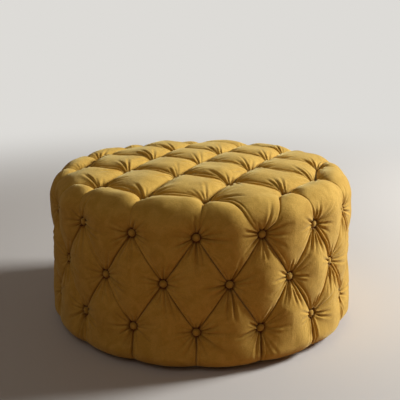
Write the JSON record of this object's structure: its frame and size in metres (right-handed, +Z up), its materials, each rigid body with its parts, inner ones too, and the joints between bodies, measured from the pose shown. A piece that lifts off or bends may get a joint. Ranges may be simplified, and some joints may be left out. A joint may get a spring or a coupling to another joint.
{
  "type": "deep-buttoned round tuffet",
  "caption": "Round drum-shaped tuffet, deep-buttoned all over in mustard velvet on a timber drum, standing on low hidden glides.",
  "frame": {"origin": "on the floor at the centre of the drum", "axes": "+Z up; -Y is the front, along one axis of the top's square button lattice; +X to the right"},
  "size_m": [0.8, 0.8, 0.4142],
  "materials": {
    "velvet": "matte",
    "wadding": "matte",
    "foam": "matte",
    "dust_cloth": "matte",
    "twine": "matte",
    "birch_ply": "matte",
    "pine": "matte",
    "hardboard": "satin",
    "zinc_steel": "satin",
    "black_plastic": "satin",
    "washer_plastic": "satin"
  },
  "bodies": {
    "root": {"base_board": "birch_ply", "cover_staples": "zinc_steel", "dust_cover": "dust_cloth", "dust_cover_staples": "zinc_steel", "foot_1": "black_plastic", "foot_2": "black_plastic", "foot_3": "black_plastic", "foot_4": "black_plastic", "foot_screws": "zinc_steel", "front_panel": "hardboard", "lower_post_screws": "zinc_steel", "lower_side_button_backs": "zinc_steel", "lower_side_buttons": "velvet", "lower_side_twines": "twine", "lower_side_washers": "washer_plastic", "middle_side_button_backs": "zinc_steel", "middle_side_buttons": "velvet", "middle_side_twines": "twine", "middle_side_washers": "washer_plastic", "panel_staples": "zinc_steel", "post_1": "pine", "post_2": "pine", "post_3": "pine", "post_4": "pine", "post_5": "pine", "post_6": "pine", "post_7": "pine", "post_8": "pine", "rear_panel": "hardboard", "side_foam": "foam", "top_board": "birch_ply", "top_button_backs": "zinc_steel", "top_buttons": "velvet", "top_foam": "foam", "top_twines": "twine", "top_washers": "washer_plastic", "upper_post_screws": "zinc_steel", "upper_side_button_backs": "zinc_steel", "upper_side_buttons": "velvet", "upper_side_twines": "twine", "upper_side_washers": "washer_plastic", "velvet_cover": "velvet", "wadding_wrap": "wadding"}
  },
  "joints": []
}
